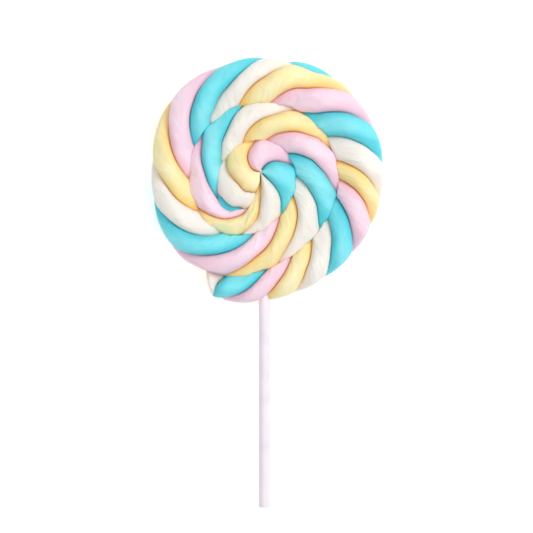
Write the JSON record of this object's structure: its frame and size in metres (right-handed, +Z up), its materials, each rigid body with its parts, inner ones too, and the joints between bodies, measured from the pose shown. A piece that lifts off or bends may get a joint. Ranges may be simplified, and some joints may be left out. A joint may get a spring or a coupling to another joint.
{
  "type": "marshmallow lollipop",
  "caption": "Soft marshmallow rope in white, pale blue, pink and yellow, twisted and coiled flat into a round head on a straight white stick.",
  "frame": {"origin": "middle of the base of the bounding box, on the surface that the lollipop lies on", "axes": "+Z up out of the shown face of the head, -Y along the stick from the head to its free end, +X to the right when the shown face is looked at with the stick below"},
  "size_m": [0.1054, 0.2038, 0.021],
  "materials": {
    "strand_white": "soft matt marshmallow, warm white",
    "strand_blue": "soft matt marshmallow, pale turquoise blue",
    "strand_pink": "soft matt marshmallow, pale pink",
    "strand_yellow": "soft matt marshmallow, pale yellow",
    "stick": "smooth white, slightly glossy"
  },
  "bodies": {
    "root": {"strand_white": "strand_white", "strand_blue": "strand_blue", "strand_pink": "strand_pink", "strand_yellow": "strand_yellow", "stick": "stick"}
  },
  "joints": []
}
